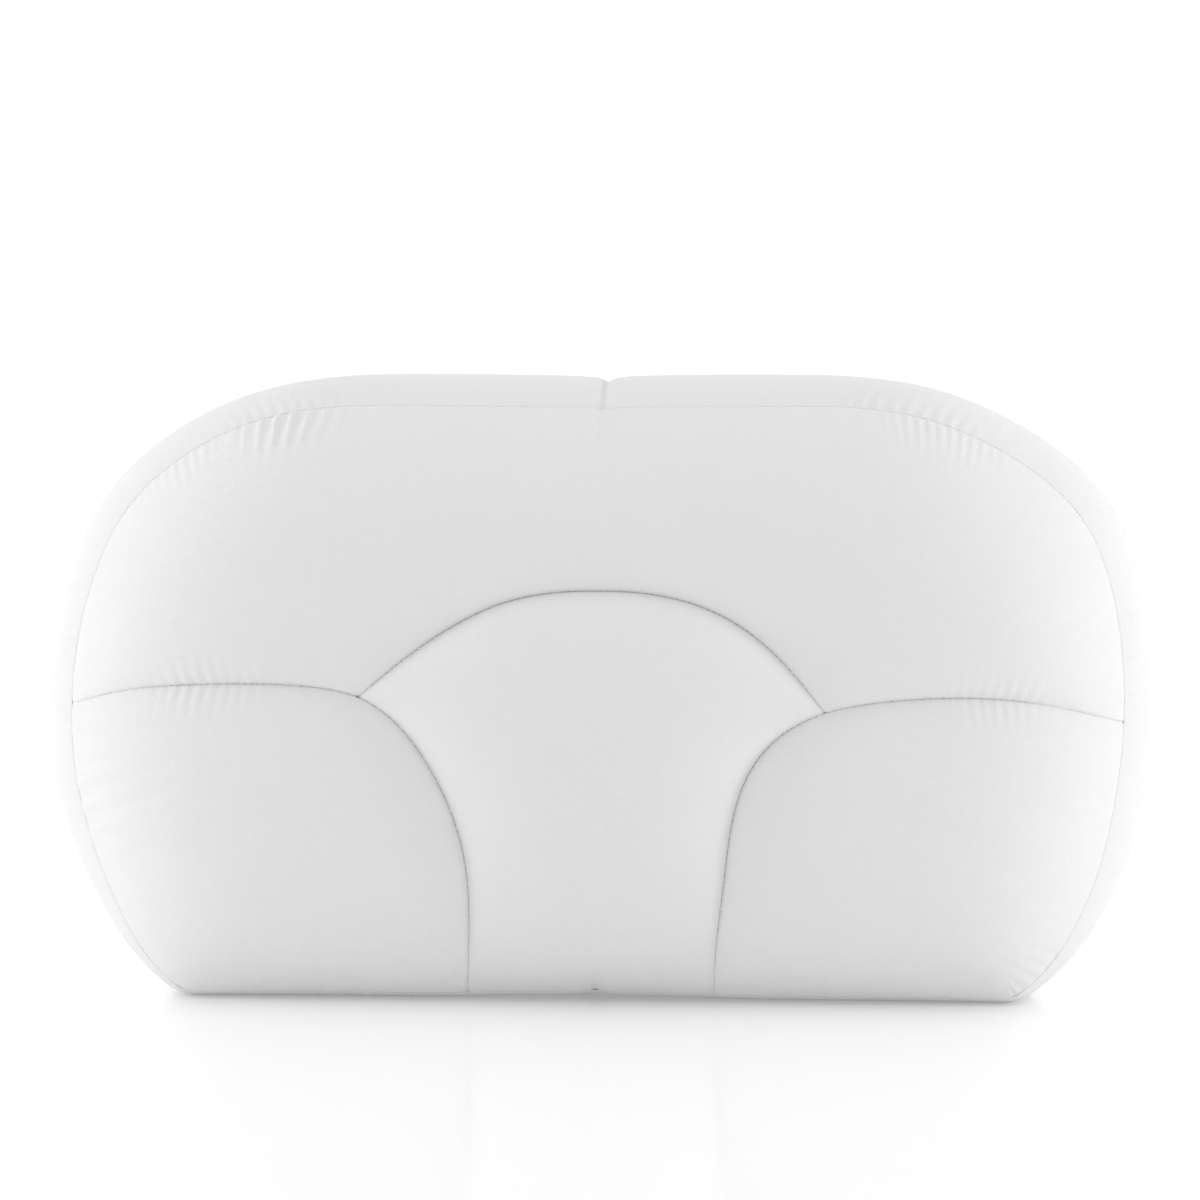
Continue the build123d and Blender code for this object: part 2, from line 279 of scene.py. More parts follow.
def spline(points, step=0.5):
    """Evenly spaced points on a natural cubic spline through the given ones."""
    p = np.array(points, float)
    t = np.concatenate([[0], np.cumsum(np.hypot(*np.diff(p, axis=0).T))])
    h = np.diff(t)
    n = len(p)
    a, b = np.eye(n), np.zeros((n, 2))
    for i in range(1, n - 1):
        a[i, i - 1:i + 2] = h[i - 1], 2 * (h[i - 1] + h[i]), h[i]
        b[i] = 6 * ((p[i + 1] - p[i]) / h[i] - (p[i] - p[i - 1]) / h[i - 1])
    m = np.linalg.solve(a, b)
    u = np.linspace(0, t[-1], max(2, round(t[-1] / 0.1)))
    i = np.clip(np.searchsorted(t, u, side="right") - 1, 0, n - 2)
    left, right, gap = (t[i + 1] - u)[:, None], (u - t[i])[:, None], h[i][:, None]
    curve = (m[i] * left ** 3 + m[i + 1] * right ** 3) / (6 * gap)
    curve += (p[i] / gap - m[i] * gap / 6) * left + (p[i + 1] / gap - m[i + 1] * gap / 6) * right
    return resample(curve, step)


def resample(points, step):
    """The same line with evenly spaced points about a step apart, ends kept."""
    t = run_length(points)
    count = max(1, round(t[-1] / step))
    u = np.linspace(0, t[-1], count + 1)
    return np.stack([np.interp(u, t, points[:, k]) for k in range(points.shape[1])], axis=1)


def nearest_s(point, seam):
    """Arc length at which a perimeter seam passes nearest a point."""
    s = np.arange(0, LENGTH, RIM_STEP)
    return s[np.argmin(np.hypot(*(seam_rim(s, seam) - point).T))]


def lobe_seam(points):
    """A lobe's seam run out exactly to the perimeter at both ends."""
    ends = [nearest_s(points[k], FRONT_SEAM) for k in (0, -1)]
    rims = seam_rim(np.array(ends), FRONT_SEAM)
    return ends, spline([rims[0], *points[1:-1], rims[1]])


(S_RIGHT_OUT, S_RIGHT_FOOT), RIGHT_LINE = lobe_seam(RIGHT_LOBE)
(S_LEFT_OUT, S_LEFT_FOOT), LEFT_LINE = lobe_seam(LEFT_LOBE)


def junction(line, point):
    """Index of the point of a lobe seam at which the arch meets it."""
    return int(np.argmin(np.hypot(*(line - point).T)))


RIGHT_JOIN = junction(RIGHT_LINE, ARCH[-1])
LEFT_JOIN = junction(LEFT_LINE, ARCH[0])
ARCH_LINE = spline([LEFT_LINE[LEFT_JOIN], *ARCH[1:-1], RIGHT_LINE[RIGHT_JOIN]])
CROSS_S = {}
for side in (1, -1):
    CROSS_S[side] = nearest_s((side * CROSS_X, ZIP_Z), BACK_SEAM)


def knots():
    """Arc lengths at which panels meet on the perimeter."""
    marks = [0, MIDDLE_TOP, LENGTH, S_RIGHT_OUT, S_RIGHT_FOOT, S_LEFT_OUT, S_LEFT_FOOT]
    return np.array(sorted(marks + list(CROSS_S.values())))


def rim_samples(start, end, step):
    """Arc lengths from start up to end that every panel and the band share."""
    marks = knots()
    marks = np.unique(np.concatenate([marks, marks + LENGTH]))
    marks = marks[(marks > start - 1e-6) & (marks < end + 1e-6)]
    rows = [np.linspace(a, b, max(1, round((b - a) / step)) + 1)[:-1] for a, b in zip(marks, marks[1:])]
    return np.concatenate(rows + [[end]])


# ---- shape of the two faces


def inside(points, loop):
    """Whether each point lies within a closed loop."""
    result = np.zeros(len(points), bool)
    x, z = points[:, 0], points[:, 1]
    for (x0, z0), (x1, z1) in zip(loop, np.roll(loop, -1, axis=0)):
        if z0 == z1:
            continue
        crosses = ((z0 > z) != (z1 > z)) & (x < (x1 - x0) * (z - z0) / (z1 - z0) + x0)
        result ^= crosses
    return result


class Line:
    """A seam line that answers how far points are from it, and where along it."""

    def __init__(self, points):
        self.points = points
        self.tree = kd_tree([(x, z, 0) for x, z in points])
        self.along = run_length(points)

    def near(self, points):
        found = [self.tree.find((x, z, 0)) for x, z in points]
        return np.array([f[2] for f in found]), self.along[[f[1] for f in found]]


def closed_line(loop, step):
    """The Line of a closed loop of points."""
    return Line(resample(np.vstack([loop, loop[:1]]), step))


class Crown:
    """Smooth fall-off from a perimeter seam: 1 on the seam, towards 0 inside it."""

    STEP = 2.5
    WIDE = (-285, 285.1)
    TALL = (-22, 322.1)
    ROUNDS = 900

    def __init__(self, seam, reach):
        self.x = np.arange(*self.WIDE, self.STEP)
        self.z = np.arange(*self.TALL, self.STEP)
        grid, _ = grid_mesh(self.x, self.z)
        loop = seam_rim(np.arange(0, LENGTH, 1.0), seam)
        within = inside(grid, loop)
        distance, _ = closed_line(loop, FINE).near(grid)
        signed = np.where(within, distance, -distance)
        value = np.exp(-np.clip(signed, -40, None) / reach).reshape(len(self.x), len(self.z))
        fixed = ~within.reshape(value.shape)
        k = (reach / self.STEP) ** 2
        for _ in range(self.ROUNDS):
            inner = value[1:-1, 1:-1]
            total = value[2:, 1:-1] + value[:-2, 1:-1] + value[1:-1, 2:] + value[1:-1, :-2]
            value[1:-1, 1:-1] = np.where(fixed[1:-1, 1:-1], inner, k * total / (1 + 4 * k))
        self.value = value

    def at(self, x, z):
        """Bicubic value at any points."""
        u, w = (x - self.x[0]) / self.STEP, (z - self.z[0]) / self.STEP
        i = np.clip(np.floor(u).astype(int), 1, len(self.x) - 3)
        j = np.clip(np.floor(w).astype(int), 1, len(self.z) - 3)
        total = 0
        for a, wa in zip((-1, 0, 1, 2), cubic(u - i)):
            row = sum(wb * self.value[i + a, j + b] for b, wb in zip((-1, 0, 1, 2), cubic(w - j)))
            total = total + wa * row
        return total


def cubic(t):
    """Catmull-Rom weights of four neighbours."""
    return (
        (-t + 2 * t ** 2 - t ** 3) / 2,
        (2 - 5 * t ** 2 + 3 * t ** 3) / 2,
        (t + 4 * t ** 2 - 3 * t ** 3) / 2,
        (-t ** 2 + t ** 3) / 2,
    )


FRONT = Crown(FRONT_SEAM, FRONT_CROWN[1])
BACK = Crown(BACK_SEAM, BACK_CROWN[1])
LINES = {"left": Line(LEFT_LINE), "right": Line(RIGHT_LINE), "arch": Line(ARCH_LINE)}
RIM_LINE = {}
for name, seam in (("front", FRONT_SEAM), ("back", BACK_SEAM)):
    RIM_LINE[name] = Line(seam_rim(np.arange(0, LENGTH, RIM_STEP), seam))


def rising(distance, width):
    """Rise of a panel from 0 at its seam to 1 well inside it."""
    share, close = PINCH
    return share * (1 - np.exp(-distance / close)) + (1 - share) * (1 - np.exp(-distance / width))


def front_shape(points, panel):
    """Places in space of points x, z of a front panel."""
    x, z = points.T
    edge = FRONT.at(x, z)
    height = FRONT_CROWN[0] * (1 - edge)
    taper = 1 - np.clip(edge, 0, 1)
    rise = 1.0
    for (owner, seam), width in RISE.items():
        if owner == panel:
            rise = rise * rising(LINES[seam].near(points)[0], width)
    height += taper * (-VALLEY + (VALLEY + PANEL_LIFT[panel]) * rise)
    return np.stack([x, FRONT_SEAM[0] - height, z], axis=1)


def back_shape(points):
    """Places in space of points x, z of a back panel."""
    x, z = points.T
    edge = BACK.at(x, z)
    height = BACK_CROWN[0] * (1 - edge)
    taper = (1 - np.clip(edge, 0, 1)) ** 1.5
    dip, half, run = CROSS_DIP
    beyond = smooth((np.abs(x) - ZIP_HALF - 4) / run)
    height -= dip * taper * beyond * hump(z, ZIP_Z, half, 1)
    return np.stack([x, BACK_SEAM[0] + height, z], axis=1)


def face_shape(points, name):
    """Places in space of points x, z of any face panel."""
    return front_shape(points, name) if name in PANEL_LIFT else back_shape(points)


def band_profile():
    """The band's section: length across it, y, and how far it has turned in towards each seam."""
    y = np.linspace(FRONT_SEAM[0], BACK_SEAM[0], 400)
    front = np.clip((FRONT_SEAM[3] - y) / (FRONT_SEAM[3] - FRONT_SEAM[0]), 0, 1)
    back = np.clip((y - BACK_SEAM[3]) / (BACK_SEAM[0] - BACK_SEAM[3]), 0, 1)
    inset = FRONT_SEAM[1] * front ** BAND_POWER + BACK_SEAM[1] * back ** BAND_POWER
    across = np.concatenate([[0], np.cumsum(np.hypot(np.diff(y), np.diff(inset)))])
    return across, (y, front, back)


BAND_ACROSS, BAND_SECTION = band_profile()
BAND_WIDTH = BAND_ACROSS[-1]


def band_shape(points):
    """Places in space of points of the band: arc length, and way across from the front seam."""
    s, across = points.T
    y, front, back = (np.interp(across, BAND_ACROSS, values) for values in BAND_SECTION)
    inset = seam_inset(s, FRONT_SEAM) * front ** BAND_POWER + seam_inset(s, BACK_SEAM) * back ** BAND_POWER
    lift = FRONT_SEAM[2] * front ** LIFT_POWER + BACK_SEAM[2] * back ** LIFT_POWER
    x, z = rim(s, inset, lift)
    return np.stack([x, y, z], axis=1)


# ---- panels as flat patterns


def panel_loops(step):
    """The closed edge of each face panel in its flat pattern, anticlockwise seen with z up."""
    def side(start, end, seam):
        return seam_rim(rim_samples(start, end, step), seam)

    def join(*lines):
        return np.vstack([line[:-1] for line in lines])

    right = resample(RIGHT_LINE[:RIGHT_JOIN + 1], step), resample(RIGHT_LINE[RIGHT_JOIN:], step)
    left = resample(LEFT_LINE[:LEFT_JOIN + 1], step), resample(LEFT_LINE[LEFT_JOIN:], step)
    arch = resample(ARCH_LINE, step)
    bottom = side(S_LEFT_FOOT, LENGTH + S_RIGHT_FOOT, FRONT_SEAM)
    loops = {
        "right_lobe": join(side(S_RIGHT_FOOT, S_RIGHT_OUT, FRONT_SEAM), *right),
        "upper": join(side(S_RIGHT_OUT, S_LEFT_OUT, FRONT_SEAM), left[0], arch, right[0][::-1]),
        "left_lobe": join(side(S_LEFT_OUT, S_LEFT_FOOT, FRONT_SEAM), left[1][::-1], left[0][::-1]),
        "centre": join(bottom, right[1][::-1], arch[::-1], left[1]),
    }
    for name, sign in (("back_upper", 1), ("back_lower", -1)):
        start, end = (CROSS_S[1], CROSS_S[-1]) if sign > 0 else (CROSS_S[-1], LENGTH + CROSS_S[1])
        loops[name] = join(side(start, end, BACK_SEAM), zip_mouth(sign, step)[::sign])
    return loops


def zip_mouth(sign, step):
    """Edge of a back panel along the cross seam and the zip, from the left perimeter to the right."""
    ends = [seam_rim(np.array([CROSS_S[k]]), BACK_SEAM)[0] for k in (-1, 1)]
    x = np.linspace(ends[0][0], ends[1][0], round((ends[1][0] - ends[0][0]) / step) + 1)
    level = ZIP_HALF + 10
    z = np.interp(x, [ends[0][0], -level, level, ends[1][0]], [ends[0][1], ZIP_Z, ZIP_Z, ends[1][1]])
    mouth = smooth((ZIP_HALF + 3 - np.abs(x)) / MOUTH_END)
    return np.stack([x, z + sign * ZIP_SLOT * mouth], axis=1)


def fill_panel(loop, rows, spacing):
    """Flat triangles over a panel: rows that follow its edge, and an even lattice inside them."""
    tangent = np.roll(loop, -1, axis=0) - np.roll(loop, 1, axis=0)
    tangent /= np.linalg.norm(tangent, axis=1)[:, None]
    inward = np.stack([-tangent[:, 1], tangent[:, 0]], axis=1)
    edge = closed_line(loop, FINE)
    found = []
    for depth in rows:
        row = loop + inward * depth
        keep = edge.near(row)[0] > 0.94 * depth
        found.append(row[keep & inside(row, loop)])
    low, high = loop.min(axis=0), loop.max(axis=0)
    rise = spacing * math.sqrt(0.75)
    lattice = []
    for k, z in enumerate(np.arange(low[1] + rise, high[1], rise)):
        x = np.arange(low[0] + spacing * (0.5 if k % 2 else 1.0), high[0], spacing)
        lattice.append(level_row(x, z))
    lattice = np.vstack(lattice)
    lattice = lattice[inside(lattice, loop)]
    last = rows[-1] if rows else 0
    lattice = lattice[edge.near(lattice)[0] > last + 0.62 * spacing]
    points = np.vstack([loop, thin(np.vstack(found + [lattice]), 0.2 * EDGE_STEP)])
    edges = [(k, (k + 1) % len(loop)) for k in range(len(loop))]
    result = delaunay_2d_cdt([Vector(p) for p in points], edges, [], 1, 1e-5)
    flat = np.array([tuple(p) for p in result[0]])
    faces = np.array([list(f) for f in result[2] if len(f) == 3])
    a, b, c = (flat[faces[:, k]] for k in range(3))
    turn = (b[:, 0] - a[:, 0]) * (c[:, 1] - a[:, 1]) - (b[:, 1] - a[:, 1]) * (c[:, 0] - a[:, 0])
    faces = faces[np.abs(turn) > 1e-4]
    turn = turn[np.abs(turn) > 1e-4]
    faces[turn < 0] = faces[turn < 0][:, ::-1]
    return flat, faces


def thin(points, cell):
    """Points with near duplicates dropped."""
    keys = np.round(points / cell).astype(int)
    _, first = np.unique(keys, axis=0, return_index=True)
    return points[np.sort(first)]


def fill_band(start, end, step, rows, spacing):
    """Flat quads over a stretch of the band."""
    s = rim_samples(start, end, step)
    if rows:
        lead = np.array([row for row in rows if row < 3])
        middle = s[(s > start + 3.2) & (s < end - 3.2)]
        s = np.concatenate([[start], start + lead, middle, end - lead[::-1], [end]])
    middle_start = rows[-1] if rows else 0
    count = max(2, round((BAND_WIDTH - 2 * middle_start) / spacing))
    middle = np.linspace(middle_start, BAND_WIDTH - middle_start, count + 1)
    near = np.array((0,) + tuple(rows[:-1])) if rows else np.array([])
    across = np.unique(np.concatenate([near, middle, BAND_WIDTH - near]))
    return grid_mesh(s, across)


# ---- cloth simulation of the whole cover


def vertex_normals(points, faces):
    """Unit normals of a mesh's points."""
    a, b, c = points[faces[:, 0]], points[faces[:, 1]], points[faces[:, 2]]
    face = np.cross(b - a, c - a)
    if faces.shape[1] == 4:
        face = np.cross(c - a, points[faces[:, 3]] - b)
    total = np.zeros_like(points)
    for k in range(faces.shape[1]):
        np.add.at(total, faces[:, k], face)
    return total / np.maximum(np.linalg.norm(total, axis=1), 1e-9)[:, None]


def coarse_cover():
    """The whole cover as one closed coarse mesh: points, faces, and which points are held."""
    points, faces, held = [], [], []
    count = 0
    for name, loop in panel_loops(SIM_STEP).items():
        flat, tris = fill_panel(loop, (), SIM_STEP)
        place = face_shape(flat, name)
        distance = closed_line(loop, 0.5).near(flat)[0]
        if name not in PANEL_LIFT:
            tris = tris[:, ::-1]
            near_zip = (np.abs(flat[:, 0]) < ZIP_HALF + 12) & (np.abs(flat[:, 1] - ZIP_Z) < 17)
            distance = np.where(near_zip, 0, distance)
        points.append(place)
        held.append(distance < 0.5)
        faces += [tuple(t + count) for t in tris]
        count += len(flat)
    for start, end in ((0, MIDDLE_TOP), (MIDDLE_TOP, LENGTH)):
        flat, quads = fill_band(start, end, SIM_STEP, (), SIM_STEP)
        points.append(band_shape(flat))
        edge = np.minimum(flat[:, 1], BAND_WIDTH - flat[:, 1])
        joint = np.minimum(flat[:, 0] - start, end - flat[:, 0])
        held.append(np.minimum(edge, joint) < 0.5)
        faces += [tuple(q + count) for q in quads]
        count += len(flat)
    points, held = np.vstack(points), np.concatenate(held)
    return weld(points, faces, held)


def weld(points, faces, held):
    """Joins held points that lie together."""
    tree = kd_tree(points)
    target = np.arange(len(points))
    for k, p in enumerate(points):
        if held[k]:
            target[k] = min(found[1] for found in tree.find_range(p, 0.35))
    used, index = np.unique(target, return_inverse=True)
    faces = [tuple(dict.fromkeys(index[list(face)])) for face in faces]
    return points[used], [face for face in faces if len(face) > 2], held[used]


def simulate_cover():
    """The coarse cover, and how the filling moves each of its points, in mm."""
    points, faces, held = coarse_cover()
    mesh = bpy.data.meshes.new("cover_sim")
    mesh.from_pydata((points * MM).tolist(), [], [list(map(int, face)) for face in faces])
    cover = placed("cover_sim", mesh)
    group = cover.vertex_groups.new(name="sewn")
    group.add([int(k) for k in np.flatnonzero(held)], 1.0, "REPLACE")
    cloth = cover.modifiers.new("cloth", "CLOTH")
    for key, value in CLOTH_SETTINGS.items():
        setattr(cloth.settings, key, value)
    cloth.settings.vertex_group_mass = "sewn"
    cloth.settings.effector_weights.gravity = 0.0
    cloth.collision_settings.use_collision = False
    cloth.point_cache.frame_start = 1
    cloth.point_cache.frame_end = SIM_FRAMES
    for number in range(1, SIM_FRAMES + 1):
        bpy.context.scene.frame_set(number)
    shaped = cover.evaluated_get(bpy.context.evaluated_depsgraph_get()).to_mesh()
    moved = np.array([tuple(v.co) for v in shaped.vertices]) / MM
    bpy.data.objects.remove(cover)
    bpy.context.scene.frame_set(1)
    return points, faces, held, moved - points


def settle_moves(faces, held, moves):
    """The simulation's moves, capped and evened out, with the seams kept where they are sewn."""
    size = np.linalg.norm(moves, axis=1)
    moves = moves * (SIM_CAP * np.tanh(size / SIM_CAP) / np.maximum(size, 1e-6))[:, None]
    pairs = {tuple(sorted((int(a), int(b)))) for face in faces for a, b in zip(face, face[1:] + face[:1])}
    pairs = np.array(sorted(pairs))
    for _ in range(2):
        total, count = np.zeros_like(moves), np.zeros(len(moves))
        for a, b in ((0, 1), (1, 0)):
            np.add.at(total, pairs[:, a], moves[pairs[:, b]])
            np.add.at(count, pairs[:, a], 1)
        even = total / count[:, None]
        moves = np.where(held[:, None], moves, 0.5 * moves + 0.5 * even)
    return moves


class Moves:
    """The simulated moves of the cover, for any point near it."""

    def __init__(self):
        self.tree = None
        points, faces, held, moves = simulate_cover()
        self.moves = settle_moves(faces, held, moves)
        self.tree = kd_tree(points)

    def at(self, points):
        result = np.zeros_like(points)
        if self.tree is None:
            return result
        for k, p in enumerate(points):
            found = self.tree.find_n(p, 9)
            weight = np.exp(-np.array([(f[2] / 5.0) ** 2 for f in found])) + 1e-9
            result[k] = weight @ self.moves[[f[1] for f in found]] / weight.sum()
        return result


MOVES = Moves()


# ---- fine shape: grooves, puckers, soft folds


def waves(t, seed, scale):
    """Smooth irregular value between about -1 and 1 along a line."""
    rng = np.random.default_rng(seed)
    total = 0
    for k in range(5):
        total = total + np.sin(t / scale * rng.uniform(0.5, 1.7) + rng.uniform(0, 6.28))
    return total / 2.6


def gathers(along, depth, zone):
    """Height of the gathers of one zone beside a seam."""
    middle, half, height, pitch, reach, lean, seed = zone
    window = smooth(1 - np.abs(along - middle) / half)
    phase = 2 * math.pi * (along + lean * depth) / pitch + 0.45 * waves(along, seed, pitch * 1.6)
    change = 0.9 + 0.15 * waves(along, seed + 1, pitch * 1.3)
    length = reach * (0.9 + 0.2 * waves(along, seed + 2, pitch * 2))
    fade = np.exp(-depth / np.maximum(length, 2)) * (1 - np.exp(-depth / 1.3))
    return height * window * change * fade * np.sin(phase)


def rim_zones():
    """Gathers along the front perimeter: place along it, half width, height, pitch, reach, lean, seed."""
    upper_left = nearest_s((-148, 284), FRONT_SEAM)
    upper_right = nearest_s((165, 276), FRONT_SEAM)
    return (
        (upper_left, 46, 1.15, 8.4, 12.0, -0.4, 3),
        (upper_left, 60, 0.4, 4.4, 9.0, -0.3, 19),
        (upper_left + 60, 40, 0.5, 6.5, 8.0, -0.3, 5),
        (MIDDLE_TOP - 62, 60, 0.4, 4.6, 3.0, 0.2, 7),
        (upper_right, 60, 0.55, 6.0, 10.0, 0.4, 9),
        (nearest_s((-252, 100), FRONT_SEAM), 50, 0.8, 12.0, 26.0, 0.2, 11),
        (nearest_s((205, 20), FRONT_SEAM), 40, 0.5, 9.0, 10.0, 0.3, 13),
        (MIDDLE_TOP, MIDDLE_TOP, 0.1, 6.2, 4.0, 0.1, 15),
    )


BAND_ZONES = (
    (MIDDLE_TOP - 150, 70, 0.6, 7.5, 9.0, 0.2, 21),
    (MIDDLE_TOP + 150, 60, 0.45, 6.5, 7.0, -0.2, 23),
    (MIDDLE_TOP - 60, 50, 0.4, 5.0, 4.0, 0.1, 25),
    (MIDDLE_TOP, MIDDLE_TOP, 0.12, 6.6, 5.0, 0.1, 27),
)
SEAM_ZONES = {
    "right": ((62, 34, 0.5, 5.5, 8.0, 0.2, 31), (200, 200, 0.1, 6.0, 4.0, 0.1, 33)),
    "left": ((70, 50, 0.5, 6.0, 8.0, 0.2, 35), (200, 200, 0.1, 6.0, 4.0, 0.1, 37)),
    "arch": ((130, 130, 0.07, 6.0, 4.0, 0.1, 39),),
}

# Soft folds of the front as start x, z, end x, z, half width and depth.
FOLDS = (
    (4, 282, -34, 205, 7, 0.9),
    (6, 280, 16, 212, 6, 0.9),
    (10, 282, 52, 226, 8, 0.7),
    (-46, 262, 30, 246, 9, 0.5),
    (-254, 92, -206, 96, 5, 0.8),
    (-252, 80, -214, 86, 4, 0.7),
    (-246, 118, -196, 112, 7, 0.6),
)


def soft_folds(points):
    """Depth of the shallow folds in the front at points x, z."""
    total = 0
    for x0, z0, x1, z1, half, depth in FOLDS:
        start, run = np.array([x0, z0]), np.array([x1 - x0, z1 - z0])
        t = np.clip((points - start) @ run / (run @ run), 0, 1)
        away = np.hypot(*(points - start - t[:, None] * run).T)
        total = total + depth * np.exp(-(away / half) ** 2) * (1 - 0.7 * t)
    return total


def groove(distance, depth=GROOVE):
    """Depth of the turned-in edge at a distance from a seam."""
    return depth * np.exp(-distance / GROOVE_WIDTH)


def pull_in(points, s):
    """Direction in which a perimeter seam is pulled into the body."""
    nx, nz = (np.interp(np.mod(s, LENGTH), OUT_S, OUT[:, k]) for k in (2, 3))
    y = np.where(points[:, 1] < 0, 0.75, -0.75)
    return np.stack([-0.66 * nx, y, -0.66 * nz], axis=1)


def warp(points):
    """Slight unevenness of the stuffed body as a whole, and its rest on the ground."""
    x, y, z = points.T
    top = smooth((z - 170) / 120)
    # The join at the top lies off the middle, in a shallow sag and a sharp notch.
    x = x + 3.2 * top * hump(x, 0, 22)
    sag = 0.7 * hump(x, 0, 60) + 1.2 * hump(x, 3, 3.5, 1)
    # The right shoulder is fuller, the left side slacker, and the right side fuller low down.
    shoulder = hump(x, 240, 46) * hump(z, 225, 46)
    left = 2.0 * smooth(-x / 200) * hump(z, 105, 45)
    right = 1.6 * smooth(x / 200) * hump(z, 52, 38)
    # The middle of the foot stands clear of the ground, with a cleft at the join of the band.
    low = np.maximum(z, 0)
    foot = 1.2 * hump(low, 0, 26) * hump(x, 0, 62, 4) + 2.2 * hump(low, 0, 12) * hump(x, 0, 4, 1)
    x = x + 3.4 * shoulder - left + right
    z = z - sag * top + 1.4 * shoulder + foot
    return np.stack([x, y, np.maximum(z, 0)], axis=1)


def finish_face(flat, faces, name):
    """Final places of a face panel's points."""
    front = name in PANEL_LIFT
    place = face_shape(flat, name)
    normal = vertex_normals(place, faces)
    place = place + MOVES.at(place)
    line = RIM_LINE["front" if front else "back"]
    edge, along = line.near(flat)
    s = nearest_outline_s(line, along)
    place += groove(edge, RIM_GROOVE)[:, None] * pull_in(place, s)
    lift = np.zeros(len(flat))
    zones = rim_zones() if front else (BAND_ZONES[-1],)
    for zone in zones:
        lift += gathers(s, edge, zone)
    if front:
        for seam in ("left", "right", "arch"):
            if (name, seam) in RISE:
                distance, along = LINES[seam].near(flat)
                place[:, 1] += groove(distance)
                for zone in SEAM_ZONES[seam]:
                    lift += gathers(along, distance, zone)
        lift -= soft_folds(flat) * (1 - np.exp(-edge / 4))
    else:
        sign = 1 if name == "back_upper" else -1
        mouth = Line(resample(zip_mouth(sign, 0.5), FINE))
        place[:, 1] -= groove(mouth.near(flat)[0])
    return warp(place + lift[:, None] * normal)


def nearest_outline_s(line, along):
    """Outline arc length for a length along a perimeter line."""
    return np.interp(along, line.along, np.arange(len(line.along)) * RIM_STEP)


def finish_band(flat, faces, start, end):
    """Final places of half of the band."""
    place = band_shape(flat)
    normal = vertex_normals(place, faces)
    place = place + MOVES.at(place)
    s, across = flat.T
    edge = np.minimum(across, BAND_WIDTH - across)
    place += groove(edge, RIM_GROOVE)[:, None] * pull_in(place, s)
    lift = np.zeros(len(flat))
    for zone in BAND_ZONES:
        lift += gathers(s, across, zone)
    joint = np.minimum(s - start, end - s)
    lift -= JOIN_GROOVE * groove(joint) + JOIN_DIP[0] * np.exp(-joint / JOIN_DIP[1])
    return warp(place + lift[:, None] * normal)


# ---- meshes and objects


def to_object(name, points, faces, uv=None):
    """A smooth-shaded mesh object in metres from points in mm."""
    mesh = bpy.data.meshes.new(name)
    mesh.from_pydata((points * MM).tolist(), [], [list(map(int, face)) for face in faces])
    if uv is not None:
        layer = mesh.uv_layers.new(name="cloth")
        loops = np.zeros(len(mesh.loops), np.int32)
        mesh.loops.foreach_get("vertex_index", loops)
        layer.data.foreach_set("uv", (uv[loops] * MM).astype(np.float32).ravel())
    mesh.polygons.foreach_set("use_smooth", [True] * len(mesh.polygons))
    mesh.update()
    return placed(name, mesh)


def thicken(piece, thickness):
    """Gives a panel its cloth's thickness, inwards."""
    solid = piece.modifiers.new("cloth", "SOLIDIFY")
    solid.thickness = thickness * MM
    solid.offset = -1
    solid.use_rim = True
    bpy.context.view_layer.objects.active = piece
    with bpy.context.temp_override(object=piece, active_object=piece, selected_objects=[piece]):
        bpy.ops.object.modifier_apply(modifier=solid.name)


def claim(piece, node, body, material):
    """Rides a piece on its body in place of its CAD node, with its material."""
    piece.data.materials.clear()
    piece.data.materials.append(material)
    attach(piece, body)
    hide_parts(node)


# ---- materials


class Nodes:
    """Shorthand for building a material's node tree."""

    def __init__(self, name):
        self.material = bpy.data.materials.new(name)
        self.material.use_nodes = True
        self.tree = self.material.node_tree
        self.tree.nodes.clear()
        self.shader = self.add("ShaderNodeBsdfPrincipled")
        out = self.add("ShaderNodeOutputMaterial")
        self.link(self.shader.outputs[0], out.inputs["Surface"])

    def add(self, kind, **values):
        node = self.tree.nodes.new(kind)
        for key, value in values.items():
            if hasattr(node, key):
                setattr(node, key, value)
            else:
                node.inputs[key].default_value = value
        return node

    def link(self, source, target):
        self.tree.links.new(source, target)

    def math(self, operation, *values):
        node = self.add("ShaderNodeMath", operation=operation)
        for k, value in enumerate(values):
            if isinstance(value, (int, float)):
                node.inputs[k].default_value = value
            else:
                self.link(value, node.inputs[k])
        return node.outputs[0]

    def set(self, **values):
        for key, value in values.items():
            self.shader.inputs[key.replace("_", " ")].default_value = value

    def texture(self, kind, coordinates="Object", output="Fac", **values):
        node = self.add(f"ShaderNodeTex{kind}", **values)
        place = self.add("ShaderNodeTexCoord")
        self.link(place.outputs[coordinates], node.inputs["Vector"])
        return node.outputs[output]

    def relief(self, height, depth):
        node = self.add("ShaderNodeBump", Distance=depth * MM, Strength=1.0)
        self.link(height, node.inputs["Height"])
        self.link(node.outputs["Normal"], self.shader.inputs["Normal"])


